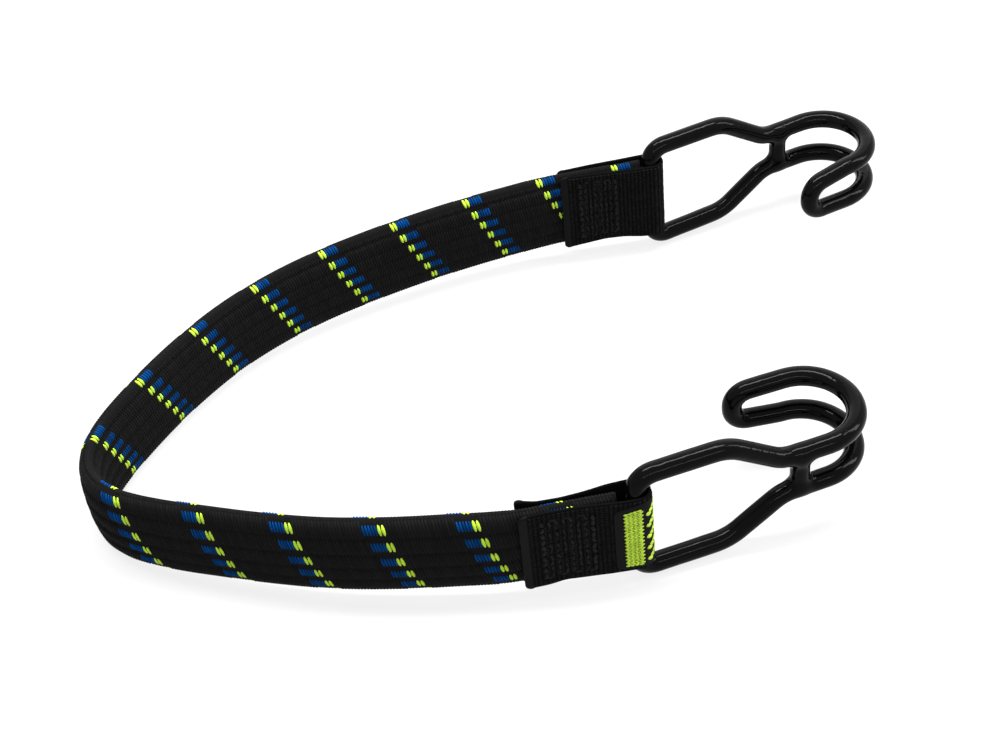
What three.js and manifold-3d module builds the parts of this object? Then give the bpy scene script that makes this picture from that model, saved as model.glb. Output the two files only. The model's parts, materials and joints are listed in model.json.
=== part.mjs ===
// A flat elastic bungee strap with a coated wire hook sewn into each end.
// Millimetres, +Z up. The strap stands on its long edge in a U that opens towards +X.
import * as THREE from "three";
import { mergeVertices } from "three/addons/utils/BufferGeometryUtils.js";
import Module from "manifold-3d";

const wasm = await Module();
wasm.setup();

// Elastic strap: a woven jacket round a row of rubber strands
const strapWidth = 25;
const strapThickness = 5.8;
const ovalPower = 2.5; // exponent of the oval section, where 2 is an ellipse
const jacketWall = 0.8;
const strandCount = 6;
const strandGap = 0.4; // between neighbouring strands
const strandClearance = 0.35; // between a strand and the jacket
const edgeSpace = 1.6; // between the row of strands and each edge of the jacket's bore
const sewnPress = 0.65; // share of its thickness that the strap keeps where it is sewn down
const swellLength = 6; // stretch over which it swells back to its full section

// Tabs: webbing folded round the bar of each hook and sewn to the strap's end
const webbingThickness = 1.1;
const webbingWidth = 25.6;
const tabLength = 28; // from the hook's bar to the tab's inner edge
const sewnLength = 18; // how far the strap's end reaches into the tab
const fitGap = 0.3; // between pieces that touch
const foldTurn = 105; // degrees from the tab's axis at which the fold leaves the bar

// Stitching: rows of thread on both faces of a tab
const threadRadius = 0.35;
const stitchRows = 8;
const stitchPitch = 1.5;
const stitchHeight = 20;
const stitchInset = 6; // from the tab's inner edge to the first row

// Label: a thin woven strip round the fold of the front tab
const labelThickness = 0.4;
const labelHeight = 21;
const labelReach = 6.4; // behind the bar, on the outer face
const labelTurn = 15; // degrees past the end of the fold, towards the inner face

// Hooks: one closed loop of wire with a cross-bar, dipped in plastic
const wireRadius = 2;
const coatGap = 0.15;
const coatWall = 0.45;
const bareBar = 8; // bar left uncoated, inside the fold
const frameHalfHeight = 16; // bar's middle to the middle of each arm
const armLength = 23.7; // bar to shoulder
const neckPlace = 38.1; // bar to the bend where the wires run together
const neckHalfGap = 6.1; // half the distance between the wires of the curl
const curlStart = 50.4; // bar to the start of the curl
const curlRadius = 12.8;
const tipPlace = 37.2; // bar to the end of the curl
const tipOffset = 27; // the end of the curl stands this far off the frame
const tipHalfGap = 4.9;
const barCorner = 4;
const shoulderBend = 12;
const neckBend = 9;
const crossBarPlace = 43;
const crossBarRadius = 1.75;
const frontHookTurn = 10; // degrees that the hook stands swung on its bar, seen from above
const rearHookTurn = 15.2;
const coatBore = wireRadius + coatGap;
const coatRadius = coatBore + coatWall;

// Facets
const ovalSides = 16;
const strandSides = 6;
const wireSides = 8;
const coatSides = 10;
const threadSides = 4;
const bendStep = 22; // degrees of bend for each ring

// Route of the strap's middle line, seen from above, from the rear end to the front end
const route = [
  [41.0, 64.3],
  [32.0, 63.45],
  [23.1, 62.6],
  [16.5, 61.8],
  [8.7, 60.4],
  [-5.8, 56.7],
  [-20.1, 52.1],
  [-34.1, 46.7],
  [-47.7, 40.5],
  [-60.6, 32.8],
  [-72.4, 23.5],
  [-82.7, 12.6],
  [-91.8, 0.7],
  [-97.3, -7.7],
  [-101.3, -14.6],
  [-103.8, -20.0],
  [-105.5, -25.8],
  [-105.8, -30.8],
  [-104.6, -35.6],
  [-102.0, -39.8],
  [-98.3, -43.2],
  [-93.1, -46.2],
  [-85.8, -49.4],
  [-75.4, -53.1],
  [-61.2, -57.8],
  [-46.7, -61.7],
  [-31.9, -64.2],
  [-17.0, -65.7],
  [-6.0, -66.4],
  [1.0, -66.4],
  [10.0, -65.65],
  [18.9, -64.9],
].map(([x, y]) => new THREE.Vector3(x, y, 0));

const up = new THREE.Vector3(0, 0, 1);
const degrees = THREE.MathUtils.degToRad;

// Finishes
const wovenBlack = new THREE.MeshStandardMaterial({ color: 0x1b1b1c, roughness: 0.85 });
const latex = new THREE.MeshStandardMaterial({ color: 0xc9b78f, roughness: 0.7 });
const webbingBlack = new THREE.MeshStandardMaterial({ color: 0x161617, roughness: 0.9 });
const threadBlack = new THREE.MeshStandardMaterial({ color: 0x202022, roughness: 0.7 });
const labelLime = new THREE.MeshStandardMaterial({ color: 0xb7e000, roughness: 0.8 });
const steel = new THREE.MeshStandardMaterial({ color: 0x9a9c9e, roughness: 0.4, metalness: 1 });
const dipCoat = new THREE.MeshStandardMaterial({ color: 0x0e0e0f, roughness: 0.25 });

function mesh(name, geometry, material) {
  const made = new THREE.Mesh(geometry, material);
  made.name = name;
  return made;
}

// Skin over a row of rings with the same number of points. A closed row joins its last ring to its first,
// and an open one is capped.
function loft(rings, closed) {
  const sides = rings[0].length;
  const last = rings.length - 1;
  const positions = rings.flat().flatMap((point) => point.toArray());
  const index = [];
  for (let i = 0; i < (closed ? rings.length : last); i++) {
    const next = (i + 1) % rings.length;
    for (let k = 0; k < sides; k++) {
      const side = (k + 1) % sides;
      const [a, b] = [i * sides + k, i * sides + side];
      const [c, d] = [next * sides + side, next * sides + k];
      index.push(a, b, c, a, c, d);
    }
  }
  if (!closed) {
    for (let k = 1; k < sides - 1; k++) {
      index.push(0, k + 1, k);
      index.push(last * sides, last * sides + k, last * sides + k + 1);
    }
  }
  const skin = new THREE.BufferGeometry();
  skin.setAttribute("position", new THREE.Float32BufferAttribute(positions, 3));
  skin.setIndex(index);
  skin.computeVertexNormals();
  return skin;
}

function solidOf(geometry) {
  const bare = geometry.clone();
  bare.deleteAttribute("normal");
  bare.deleteAttribute("uv");
  const merged = mergeVertices(bare);
  return new wasm.Manifold(
    new wasm.Mesh({
      numProp: 3,
      vertProperties: merged.attributes.position.array,
      triVerts: new Uint32Array(merged.index.array),
    }),
  );
}

function geometryOf(solid) {
  const made = solid.getMesh();
  const geometry = new THREE.BufferGeometry();
  geometry.setAttribute("position", new THREE.BufferAttribute(made.vertProperties, made.numProp));
  geometry.setIndex(new THREE.BufferAttribute(made.triVerts, 1));
  geometry.computeVertexNormals();
  return geometry;
}

// Directions along a line of points, and two directions across each that turn as little as they can
function framesAlong(points, closed) {
  const count = points.length;
  const at = (i) => points[closed ? (i + count) % count : THREE.MathUtils.clamp(i, 0, count - 1)];
  const along = points.map((point, i) => {
    const before = point.clone().sub(at(i - 1)).normalize();
    const after = at(i + 1).clone().sub(point).normalize();
    return before.add(after).normalize();
  });
  const across = [new THREE.Vector3(1, 0, 0)];
  if (Math.abs(along[0].x) > 0.9) across[0].set(0, 1, 0);
  across[0].cross(along[0]).normalize();
  const turn = new THREE.Quaternion();
  for (let i = 1; i < count; i++) {
    turn.setFromUnitVectors(along[i - 1], along[i]);
    across.push(across[i - 1].clone().applyQuaternion(turn));
  }
  if (closed) {
    turn.setFromUnitVectors(along[count - 1], along[0]);
    const back = across[count - 1].clone().applyQuaternion(turn);
    const slip = Math.atan2(back.clone().cross(across[0]).dot(along[0]), back.dot(across[0]));
    across.forEach((direction, i) => direction.applyAxisAngle(along[i], (slip * i) / count));
  }
  return points.map((point, i) => ({
    point,
    across: across[i],
    upright: along[i].clone().cross(across[i]),
  }));
}

function roundRings(frames, radius, sides) {
  return frames.map(({ point, across, upright }) =>
    Array.from({ length: sides }, (_, k) => {
      const angle = (2 * Math.PI * (k + 0.5)) / sides;
      return point
        .clone()
        .addScaledVector(across, radius * Math.cos(angle))
        .addScaledVector(upright, radius * Math.sin(angle));
    }),
  );
}

// A line of points with an arc of the given radius at each inner corner
function roundedPath(corners) {
  const points = [corners[0].at];
  for (let i = 1; i < corners.length - 1; i++) {
    const { at, radius } = corners[i];
    const back = corners[i - 1].at.clone().sub(at).normalize();
    const on = corners[i + 1].at.clone().sub(at).normalize();
    const bend = Math.PI - back.angleTo(on);
    const reach = radius * Math.tan(bend / 2);
    const centre = back.clone().add(on).normalize().multiplyScalar(radius / Math.cos(bend / 2)).add(at);
    const first = at.clone().addScaledVector(back, reach).sub(centre);
    const end = at.clone().addScaledVector(on, reach).sub(centre);
    const steps = Math.max(2, Math.ceil(bend / degrees(bendStep)));
    for (let k = 0; k <= steps; k++) {
      const share = (bend * k) / steps;
      points.push(
        first
          .clone()
          .multiplyScalar(Math.sin(bend - share) / Math.sin(bend))
          .addScaledVector(end, Math.sin(share) / Math.sin(bend))
          .add(centre),
      );
    }
  }
  points.push(corners[corners.length - 1].at);
  return points;
}

// A ribbon of even thickness along a flat path, standing on its edge
function ribbon(path, thickness, height) {
  const edge = (half) =>
    path.map((point, i) => {
      const on = path[Math.min(i + 1, path.length - 1)].clone().sub(path[Math.max(i - 1, 0)]).normalize();
      return new THREE.Vector2(point.x - on.y * half, point.y + on.x * half);
    });
  const outline = [...edge(thickness / 2), ...edge(-thickness / 2).reverse()];
  const strip = new THREE.ExtrudeGeometry(new THREE.Shape(outline), { depth: height, bevelEnabled: false });
  return strip.translate(0, 0, -height / 2);
}

// The strap's stations: a place on the route, the direction across the strap, and how far it is pressed flat
const routeCurve = new THREE.CatmullRomCurve3(route);
const distances = [0];
for (let i = 1; i < route.length; i++) {
  distances.push(distances[i - 1] + route[i].distanceTo(route[i - 1]));
}
const strapLength = distances[distances.length - 1];
const stations = route.map((point, i) => {
  const along = routeCurve.getTangent(i / (route.length - 1));
  const fromEnd = Math.min(distances[i], strapLength - distances[i]);
  const swell = THREE.MathUtils.smoothstep(fromEnd, sewnLength, sewnLength + swellLength);
  return {
    point,
    inward: up.clone().cross(along).normalize(),
    press: THREE.MathUtils.lerp(sewnPress, 1, swell),
  };
});

// Half thickness of an oval at a distance from its middle
function ovalHalf(width, thickness, off) {
  const share = Math.min(1, Math.abs((2 * off) / width));
  return (thickness / 2) * (1 - share ** ovalPower) ** (1 / ovalPower);
}

function ovalRings(width, thickness) {
  const rounded = (value) => Math.sign(value) * Math.abs(value) ** (2 / ovalPower);
  return stations.map(({ point, inward, press }) =>
    Array.from({ length: ovalSides }, (_, k) => {
      const angle = (2 * Math.PI * k) / ovalSides;
      return point
        .clone()
        .addScaledVector(inward, (thickness / 2) * press * rounded(Math.sin(angle)))
        .addScaledVector(up, (-width / 2) * rounded(Math.cos(angle)));
    }),
  );
}

const boreWidth = strapWidth - 2 * jacketWall;
const boreThickness = strapThickness - 2 * jacketWall;

function elasticJacket() {
  const outside = ovalRings(strapWidth, strapThickness);
  const inside = ovalRings(boreWidth, boreThickness);
  return mesh("elastic_jacket", loft([...outside, ...inside.reverse()], true), wovenBlack);
}

function rubberStrands() {
  const pitch = (boreWidth - 2 * edgeSpace) / strandCount;
  const halfWidth = (pitch - strandGap) / 2;
  return Array.from({ length: strandCount }, (_, i) => {
    const height = (i - (strandCount - 1) / 2) * pitch;
    const half = ovalHalf(boreWidth, boreThickness, Math.abs(height) + halfWidth / 2) - strandClearance;
    const rings = stations.map(({ point, inward, press }) =>
      Array.from({ length: strandSides }, (_, k) => {
        const angle = (2 * Math.PI * k) / strandSides;
        return point
          .clone()
          .addScaledVector(inward, half * press * Math.sin(angle))
          .addScaledVector(up, height - halfWidth * Math.cos(angle));
      }),
    );
    return mesh(`rubber_strand_${i + 1}`, loft(rings, false), latex);
  });
}

// Tab pieces, with the hook's bar at the origin and the strap coming from -X
const plyMiddle = (strapThickness * sewnPress) / 2 + fitGap + webbingThickness / 2;
const foldRadius = coatRadius + fitGap + webbingThickness / 2;
const tabFace = plyMiddle + webbingThickness / 2;

function foldPath(radius, fromAngle, toAngle) {
  const steps = Math.ceil(Math.abs(toAngle - fromAngle) / bendStep);
  return Array.from({ length: steps + 1 }, (_, i) => {
    const angle = degrees(fromAngle + ((toAngle - fromAngle) * i) / steps);
    return new THREE.Vector2(radius * Math.cos(angle), radius * Math.sin(angle));
  });
}

function webbingTab(end) {
  const side = (sign) => [
    new THREE.Vector2(-tabLength, sign * plyMiddle),
    new THREE.Vector2(-tabLength + sewnLength, sign * plyMiddle),
  ];
  const path = [...side(-1), ...foldPath(foldRadius, -foldTurn, foldTurn), ...side(1).reverse()];
  return mesh(`${end}_webbing_tab`, ribbon(path, webbingThickness, webbingWidth), webbingBlack);
}

function stitching(name, sign) {
  const off = sign * (tabFace + threadRadius + fitGap / 2);
  const points = [];
  for (let row = 0; row < stitchRows; row++) {
    const place = -tabLength + stitchInset + row * stitchPitch;
    const start = ((row % 2 ? 1 : -1) * stitchHeight) / 2;
    points.push(new THREE.Vector3(place, off, start), new THREE.Vector3(place, off, -start));
  }
  const rings = roundRings(framesAlong(points, false), threadRadius, threadSides);
  return mesh(name, loft(rings, false), threadBlack);
}

function wovenLabel() {
  const stand = webbingThickness / 2 + fitGap / 2 + labelThickness / 2;
  const round = foldPath(foldRadius + stand, -foldTurn, labelTurn);
  const plyEnd = new THREE.Vector2(-tabLength + sewnLength, -plyMiddle - stand);
  const share = (round[0].x + labelReach) / (round[0].x - plyEnd.x);
  const path = [round[0].clone().lerp(plyEnd, share), ...round];
  return mesh("woven_label", ribbon(path, labelThickness, labelHeight), labelLime);
}

// Middle line of a hook's wire, from the bar round the frame and the curl and back to the bar.
// X runs away from the strap, Z along the bar, and the curl turns to the given side in Y.
function wireLine(side) {
  const at = (x, y, z) => new THREE.Vector3(x, side * y, z);
  const frame = roundedPath([
    { at: at(0, 0, bareBar / 2) },
    { at: at(0, 0, frameHalfHeight), radius: barCorner },
    { at: at(armLength, 0, frameHalfHeight), radius: shoulderBend },
    { at: at(neckPlace, 0, neckHalfGap), radius: neckBend },
    { at: at(curlStart, 0, neckHalfGap) },
  ]);
  const curlSteps = Math.ceil(180 / bendStep);
  const curl = Array.from({ length: curlSteps - 1 }, (_, i) => {
    const angle = (Math.PI * (i + 1)) / curlSteps;
    return at(curlStart + curlRadius * Math.sin(angle), curlRadius * (1 - Math.cos(angle)), neckHalfGap);
  });
  const tip = roundedPath([
    { at: at(curlStart, 2 * curlRadius, neckHalfGap) },
    { at: at(tipPlace, tipOffset, tipHalfGap), radius: 0.95 * tipHalfGap },
    { at: at(tipPlace, tipOffset, 0) },
  ]);
  const upper = [...frame, ...curl, ...tip];
  const lower = upper.slice(0, -1).reverse().map((point) => new THREE.Vector3(point.x, point.y, -point.z));
  return [...upper, ...lower];
}

function barCylinder(radius, length, sides) {
  const bar = new THREE.CylinderGeometry(radius, radius, length, sides);
  return bar.rotateX(Math.PI / 2).translate(crossBarPlace, 0, 0);
}

function hookPieces(end, side) {
  const frames = framesAlong(wireLine(side), true);
  const wire = loft(roundRings(frames, wireRadius, wireSides), true);
  const bore = solidOf(loft(roundRings(frames, coatBore, wireSides), true));
  const skin = solidOf(loft(roundRings(frames, coatRadius, coatSides), false));
  const barBore = solidOf(barCylinder(crossBarRadius + coatGap, 2 * neckHalfGap, wireSides));
  const barSkin = solidOf(barCylinder(crossBarRadius + coatGap + coatWall, 2 * neckHalfGap, coatSides));
  const coat = skin.add(barSkin).subtract(bore).subtract(barBore);
  const barLength = 2 * (neckHalfGap - wireRadius - fitGap);
  return [
    mesh(`${end}_hook_wire`, wire, steel),
    mesh(`${end}_hook_cross_bar`, barCylinder(crossBarRadius, barLength, wireSides), steel),
    mesh(`${end}_hook_coating`, geometryOf(coat), dipCoat),
  ];
}

// A sewn end: its tab lies along the last stretch of the route, its hook swings on the bar, and the curl
// turns to the inside of the U
function sewnEnd(end, inner, tip, hookTurn, curlSide) {
  const outward = tip.clone().sub(inner).normalize();
  const bar = tip.clone().addScaledVector(outward, tabLength - sewnLength);
  const tab = new THREE.Group();
  tab.position.copy(bar);
  tab.rotation.z = Math.atan2(outward.y, outward.x);
  tab.add(webbingTab(end));
  tab.add(stitching(`${end}_needle_thread`, -curlSide), stitching(`${end}_bobbin_thread`, curlSide));
  const hook = new THREE.Group();
  hook.rotation.z = degrees(hookTurn);
  hook.add(...hookPieces(end, curlSide));
  tab.add(hook);
  return tab;
}

const rearEnd = sewnEnd("rear", route[1], route[0], rearHookTurn, -1);
const frontEnd = sewnEnd("front", route[route.length - 2], route[route.length - 1], frontHookTurn, 1);
frontEnd.add(wovenLabel());

// The cord stands on the lower corner of each hook's frame and on the lower edge of the bend
const standing = new THREE.Group();
standing.add(elasticJacket(), ...rubberStrands(), rearEnd, frontEnd);
standing.updateMatrixWorld(true);
const hookCorner = new THREE.Vector3(barCorner, 0, -frameHalfHeight - coatRadius);
const rearFoot = rearEnd.localToWorld(hookCorner.clone().applyAxisAngle(up, degrees(rearHookTurn)));
const frontFoot = frontEnd.localToWorld(hookCorner.clone().applyAxisAngle(up, degrees(frontHookTurn)));
const bendFoot = route.reduce((low, point) => (point.x < low.x ? point : low)).clone();
bendFoot.z = -strapWidth / 2;
const floorNormal = rearFoot.sub(frontFoot).cross(bendFoot.sub(frontFoot)).normalize();
standing.quaternion.setFromUnitVectors(floorNormal, up);

// The origin is on the floor, under the middle of the box round the whole cord
const part = new THREE.Group();
part.add(standing);
const box = new THREE.Box3().setFromObject(part, true);
const middle = box.getCenter(new THREE.Vector3());
standing.position.set(-middle.x, -middle.y, -box.min.z);

export default part;
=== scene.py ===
# Flat bungee cord: a woven elastic strap between two sewn webbing tabs, with a dip-coated wire hook in each
import json
import math

import bmesh
import bpy
import numpy as np
from mathutils import Matrix, Vector, kdtree, noise


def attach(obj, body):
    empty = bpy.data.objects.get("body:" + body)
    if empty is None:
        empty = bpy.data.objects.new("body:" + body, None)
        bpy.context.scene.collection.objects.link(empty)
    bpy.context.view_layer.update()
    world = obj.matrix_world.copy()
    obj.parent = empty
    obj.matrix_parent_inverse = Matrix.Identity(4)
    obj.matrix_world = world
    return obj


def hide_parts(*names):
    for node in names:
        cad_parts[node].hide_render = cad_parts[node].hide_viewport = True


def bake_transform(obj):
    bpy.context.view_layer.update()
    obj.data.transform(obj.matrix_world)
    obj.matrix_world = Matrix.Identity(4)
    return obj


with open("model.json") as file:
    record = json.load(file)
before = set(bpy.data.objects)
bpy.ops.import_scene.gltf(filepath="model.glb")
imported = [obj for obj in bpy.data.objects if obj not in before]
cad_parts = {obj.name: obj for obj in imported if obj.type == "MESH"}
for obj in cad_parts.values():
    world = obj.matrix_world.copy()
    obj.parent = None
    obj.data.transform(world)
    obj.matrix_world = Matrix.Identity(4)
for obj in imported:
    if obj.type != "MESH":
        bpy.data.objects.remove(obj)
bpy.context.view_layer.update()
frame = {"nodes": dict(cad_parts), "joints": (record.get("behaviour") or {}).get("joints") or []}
scene = bpy.context.scene
scene.view_settings.view_transform = "Standard"
mm = 0.001

# Middle line of the strap seen from above, in metres, from its rear end to its front end
strapRoute = [
    (0.0410, 0.0643), (0.0320, 0.06345), (0.0231, 0.0626), (0.0165, 0.0618),
    (0.0087, 0.0604), (-0.0058, 0.0567), (-0.0201, 0.0521), (-0.0341, 0.0467),
    (-0.0477, 0.0405), (-0.0606, 0.0328), (-0.0724, 0.0235), (-0.0827, 0.0126),
    (-0.0918, 0.0007), (-0.0973, -0.0077), (-0.1013, -0.0146), (-0.1038, -0.0200),
    (-0.1055, -0.0258), (-0.1058, -0.0308), (-0.1046, -0.0356), (-0.1020, -0.0398),
    (-0.0983, -0.0432), (-0.0931, -0.0462), (-0.0858, -0.0494), (-0.0754, -0.0531),
    (-0.0612, -0.0578), (-0.0467, -0.0617), (-0.0319, -0.0642), (-0.0170, -0.0657),
    (-0.0060, -0.0664), (0.0010, -0.0664), (0.0100, -0.06565), (0.0189, -0.0649),
]

# A tab is folded round the bar of its hook; from here on sizes are in millimetres
tab = {
    "length": 28.0, "sewnLength": 18.0, "width": 25.6,
    "hemReach": {"rear": -0.5, "front": 1.2},  # the cut ends lie short of that length, or past it
    "plyMiddle": 2.735, "foldRadius": 3.15, "foldTurn": 105.0,
    "foldSteps": 61, "lineSteps": 270,
}
plan = np.array(strapRoute) / mm


def endPlace(tip, inner):
    away = (tip - inner) / np.linalg.norm(tip - inner)
    return {"bar": tip + (tab["length"] - tab["sewnLength"]) * away, "away": away}


# Bar of each hook in the plan, and the direction away from the strap
ends = {"rear": endPlace(plan[0], plan[1]), "front": endPlace(plan[-1], plan[-2])}

# The cord stands a little tipped on its hooks and its bend: the rear hook's hinge gives its lean and place
hinge = next(joint for joint in frame["joints"] if joint["name"] == "rear_hook_swing")
lean = np.array(Vector((0, 0, 1)).rotation_difference(Vector(hinge["axis"])).to_matrix())
rearBar = np.append(ends["rear"]["bar"], 0.0) * mm
shift = np.array(hinge["pos_m"]) - lean @ rearBar


def toPart(points):  # plan millimetres to the part's metres
    return np.asarray(points, float) * mm @ lean.T + shift


def addObject(name, data):
    made = bpy.data.objects.new(name, data)
    scene.collection.objects.link(made)
    return made


# Camera, at the photograph's view
shot = {
    "place": (0.0, -350.0, 315.2), "down": 42.47, "roll": 6.84,
    "lens": 63.25, "sensor": 36.0, "clip": (0.01, 20.0),
}


def makeCamera():
    down, roll = math.radians(shot["down"]), math.radians(shot["roll"])
    ahead = np.array((0.0, math.cos(down), -math.sin(down)))
    level = np.array((1.0, 0.0, 0.0))
    above = np.cross(level, ahead)
    right = math.cos(roll) * level - math.sin(roll) * above
    top = math.sin(roll) * level + math.cos(roll) * above
    camera = addObject("camera", bpy.data.cameras.new("camera"))
    turned = np.column_stack([lean @ right, lean @ top, -(lean @ ahead)])
    camera.matrix_world = Matrix.Translation(toPart(shot["place"])) @ Matrix(turned.tolist()).to_4x4()
    camera.data.sensor_width = shot["sensor"]
    camera.data.lens = shot["lens"]
    camera.data.clip_start, camera.data.clip_end = shot["clip"]
    scene.camera = camera


makeCamera()
print("camera placed")


def setInputs(tree, node, inputs):  # a value goes on the socket, a socket is linked
    for key, value in inputs.items():
        if isinstance(value, bpy.types.NodeSocket):
            tree.links.new(value, node.inputs[key])
        else:
            node.inputs[key].default_value = value


def addNode(tree, kind, inputs=None, **settings):
    node = tree.nodes.new(kind)
    for key, value in settings.items():
        setattr(node, key, value)
    setInputs(tree, node, inputs or {})
    return node


def linear(hexColour):  # sRGB hex to linear RGBA
    parts = [int(hexColour[i:i + 2], 16) / 255 for i in (1, 3, 5)]
    return [c / 12.92 if c <= 0.04045 else ((c + 0.055) / 1.055) ** 2.4 for c in parts] + [1.0]


def startMaterial(name, sockets):
    material = bpy.data.materials.new(name)
    material.use_nodes = True
    tree = material.node_tree
    shader = tree.nodes["Principled BSDF"]
    setInputs(tree, shader, sockets)
    return material, tree, shader


def faceOutwards(data):
    shell = bmesh.new()
    shell.from_mesh(data)
    if shell.calc_volume(signed=True) < 0:
        bmesh.ops.reverse_faces(shell, faces=shell.faces)
    shell.to_mesh(data)
    shell.free()


def mapFlat(data, uv):  # each point's place on the flat piece becomes its UV
    corners = np.zeros(len(data.loops), np.int32)
    data.loops.foreach_get("vertex_index", corners)
    data.uv_layers.new(name="flat").data.foreach_set("uv", uv[corners].ravel())


def meshPiece(name, points, faces, material, uv=None):
    data = bpy.data.meshes.new(name)
    data.from_pydata(np.asarray(points).tolist(), [], faces)
    faceOutwards(data)
    data.polygons.foreach_set("use_smooth", np.ones(len(data.polygons), bool))
    if uv is not None:
        mapFlat(data, uv)
    data.materials.append(material)
    data.update()
    return addObject(name, data)


def plainMesh(holder):  # what an object's modifiers or bevel make of it; the object itself goes
    bpy.context.view_layer.update()
    data = bpy.data.meshes.new_from_object(holder.evaluated_get(bpy.context.evaluated_depsgraph_get()))
    bpy.data.objects.remove(holder)
    return data


def gridFaces(rows, columns, closedRows=False, capped=False):
    faces = []
    for i in range(rows if closedRows else rows - 1):
        for k in range(columns):
            on, side = (i + 1) % rows, (k + 1) % columns
            faces.append((i * columns + k, i * columns + side, on * columns + side, on * columns + k))
    if capped:
        faces += [tuple(range(columns))[::-1], tuple(range((rows - 1) * columns, rows * columns))]
    return faces


def arcOf(line):
    return np.append(0.0, np.cumsum(np.linalg.norm(np.diff(line, axis=0), axis=1)))


def alongOf(line, arc):
    slope = np.gradient(line, arc, axis=0)
    return slope / np.linalg.norm(slope, axis=1)[:, None]


def softWindow(steps):  # weights of a running mean that rounds corners off
    return np.hanning(steps) / np.hanning(steps).sum()


def smoothLine(points, spacing):  # rounded line through the points, evenly stepped
    knots = arcOf(points)
    slopes = np.gradient(points, knots, axis=0)
    fine = np.linspace(0, knots[-1], int(knots[-1] / spacing) + 1)
    i = np.clip(np.searchsorted(knots, fine, side="right") - 1, 0, len(knots) - 2)
    span = (knots[i + 1] - knots[i])[:, None]
    t = (fine - knots[i])[:, None] / span
    return (
        (2 * t**3 - 3 * t**2 + 1) * points[i]
        + (t**3 - 2 * t**2 + t) * span * slopes[i]
        + (3 * t**2 - 2 * t**3) * points[i + 1]
        + (t**3 - t**2) * span * slopes[i + 1]
    )


def bandScale(spacing):  # a wave texture of scale 1 repeats every 2 pi / 20
    return 2 * math.pi / (20 * spacing)


# Finishes
def polyesterYarn(name, hexColour, roughness, toneSpread, gloss=0.1):
    # Textured polyester yarn, woven: matte, a faint sheen along the filaments, some floats lighter or darker
    material, tree, shader = startMaterial(name, {
        "Roughness": roughness, "IOR": 1.5, "Specular IOR Level": gloss,
        "Sheen Weight": 0.01, "Sheen Roughness": 0.4,
    })
    tone = addNode(tree, "ShaderNodeAttribute", attribute_name="tone")
    scale = addNode(tree, "ShaderNodeMapRange", {
        "Value": tone.outputs["Fac"], "To Min": 1 - toneSpread, "To Max": 1 + toneSpread,
    })
    tinted = addNode(tree, "ShaderNodeVectorMath", {
        0: linear(hexColour)[:3], "Scale": scale.outputs["Result"],
    }, operation="SCALE")
    # filaments of 0.02 mm are too fine to show, so they are drawn 0.2 mm apart
    flat = addNode(tree, "ShaderNodeUVMap", uv_map="flat")
    filament = addNode(tree, "ShaderNodeTexWave", {
        "Vector": flat.outputs["UV"], "Scale": bandScale(0.2), "Distortion": 1.5, "Detail": 1.0,
    })
    bump = addNode(tree, "ShaderNodeBump", {
        "Height": filament.outputs["Fac"], "Strength": 0.15, "Distance": 0.05 * mm,
    })
    setInputs(tree, shader, {"Base Color": tinted.outputs["Vector"], "Normal": bump.outputs["Normal"]})
    return material


def jacketGround():
    # Binder yarns deep in the grooves of the weave: the same polyester, in shade, with a fine cross rib
    material, tree, shader = startMaterial("woven polyester ground", {
        "Base Color": linear("#101011"), "Roughness": 0.9, "IOR": 1.5, "Specular IOR Level": 0.08,
    })
    flat = addNode(tree, "ShaderNodeUVMap", uv_map="flat")
    ribs = addNode(tree, "ShaderNodeTexWave", {
        "Vector": flat.outputs["UV"], "Scale": bandScale(0.4), "Distortion": 0.6,
    }, bands_direction="X")
    bump = addNode(tree, "ShaderNodeBump", {
        "Height": ribs.outputs["Fac"], "Strength": 0.5, "Distance": 0.15 * mm,
    })
    setInputs(tree, shader, {"Normal": bump.outputs["Normal"]})
    return material


def naturalLatex():
    # Extruded natural rubber dusted with talc: tan, dull, slightly mottled
    material, tree, shader = startMaterial("natural latex rubber", {"Roughness": 0.6, "IOR": 1.52})
    place = addNode(tree, "ShaderNodeTexCoord")
    mottle = addNode(tree, "ShaderNodeTexNoise", {
        "Vector": place.outputs["Object"], "Scale": 1 / (6 * mm), "Detail": 3.0,
    })
    ramp = addNode(tree, "ShaderNodeValToRGB", {"Fac": mottle.outputs["Fac"]})
    ramp.color_ramp.elements[0].color = linear("#a98f5c")
    ramp.color_ramp.elements[1].color = linear("#cdb988")
    setInputs(tree, shader, {"Base Color": ramp.outputs["Color"]})
    return material


def drawnSteel():
    # Drawn steel wire as welded: grey, fine lines along the draw
    material, tree, shader = startMaterial("drawn steel wire", {
        "Base Color": linear("#9b9ea2"), "Metallic": 1.0,
    })
    place = addNode(tree, "ShaderNodeTexCoord")
    grain = addNode(tree, "ShaderNodeTexNoise", {
        "Vector": place.outputs["Object"], "Scale": 1 / (0.8 * mm), "Detail": 2.0,
    })
    rough = addNode(tree, "ShaderNodeMapRange", {
        "Value": grain.outputs["Fac"], "To Min": 0.28, "To Max": 0.48,
    })
    setInputs(tree, shader, {"Roughness": rough.outputs["Result"]})
    return material


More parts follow.
